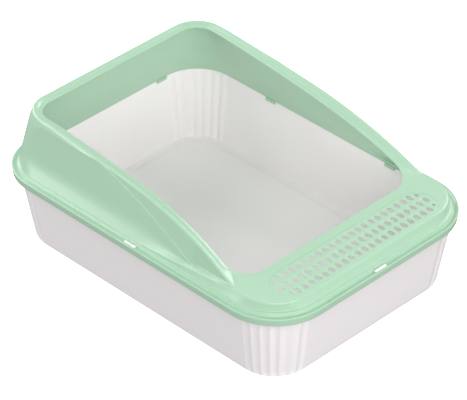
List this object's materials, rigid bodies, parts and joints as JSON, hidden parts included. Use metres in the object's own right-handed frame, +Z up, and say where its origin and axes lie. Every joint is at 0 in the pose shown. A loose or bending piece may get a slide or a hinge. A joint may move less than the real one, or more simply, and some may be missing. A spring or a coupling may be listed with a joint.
{
  "type": "semi-open cat litter box with lift-off guard frame",
  "caption": "Tapered rectangular litter pan with fluted corners, under a lift-off open-topped guard frame with a high back, sloping sides and a low perforated front step.",
  "frame": {"origin": "middle of the pan's flat underside, on the floor the box stands on", "axes": "+Z up, +Y from the low front step towards the high back wall, +X across the box"},
  "size_m": [0.3646, 0.5, 0.184],
  "materials": {
    "white_plastic": "satin moulded polypropylene, warm white",
    "mint_plastic": "satin moulded polypropylene, mint green"
  },
  "bodies": {
    "pan": {"litter_pan": "white_plastic", "snap_tongue_right": "white_plastic", "snap_tongue_left": "white_plastic", "snap_tongue_back": "white_plastic", "snap_tongue_front": "white_plastic"},
    "frame": {"guard_frame": "mint_plastic"},
    "grille": {"step_grille": "mint_plastic"}
  },
  "joints": [
    {"name": "frame_lift", "type": "slide", "parent": "pan", "child": "frame", "axis": [0, 0, 1], "range_m": [0, 0.15]},
    {"name": "grille_lift", "type": "slide", "parent": "frame", "child": "grille", "axis": [0, 0, 1], "range_m": [0, 0.04]}
  ]
}
